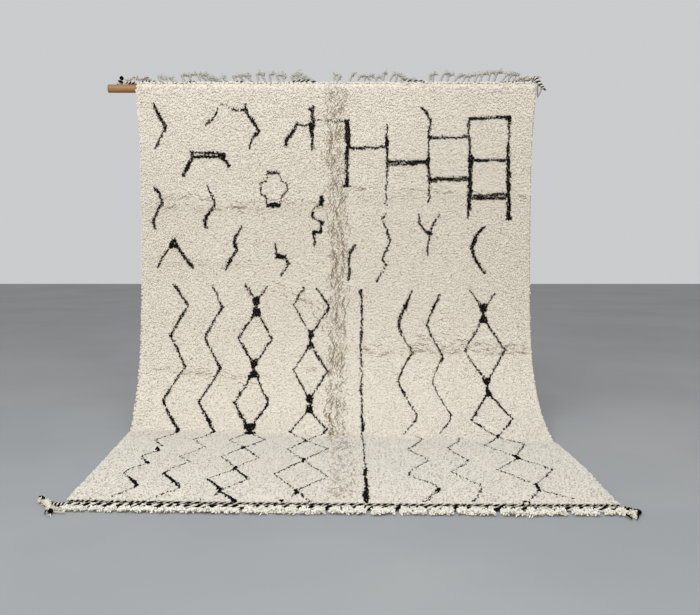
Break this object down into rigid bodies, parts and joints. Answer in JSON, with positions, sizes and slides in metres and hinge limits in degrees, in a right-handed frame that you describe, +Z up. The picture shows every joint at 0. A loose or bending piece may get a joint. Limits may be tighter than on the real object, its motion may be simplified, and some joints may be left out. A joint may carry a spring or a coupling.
{
  "type": "beni ourain rug and hanging pole",
  "caption": "Thick cream wool rug with dark freehand lines, hung over a round wooden pole and swept forward along the floor, with fringes and twined cords at both ends.",
  "frame": {"origin": "on the pole's axis, halfway across the rug", "axes": "+X along the pole, to the right of someone who faces the pile; +Y away from the pile side; +Z up"},
  "size_m": [2.2662, 1.6466, 1.8072],
  "materials": {
    "pile_wool": "thick undyed cream wool pile with lines of black wool",
    "fringe_wool": "twisted undyed wool warps with fluffy cut ends",
    "twined_wool": "black and cream wool yarns twined together",
    "pole_wood": "plain sanded light-brown wood with a satin surface"
  },
  "bodies": {
    "root": {"rug": "pile_wool", "pole": "pole_wood", "cord_front_inner": "twined_wool", "cord_front_outer": "twined_wool", "cord_top_inner": "twined_wool", "cord_top_outer": "twined_wool", "tail_front_left": "twined_wool", "tail_front_right": "twined_wool", "tail_top_left": "twined_wool", "tail_top_right": "twined_wool", "fringe_front": "fringe_wool", "fringe_top": "fringe_wool"}
  },
  "joints": []
}
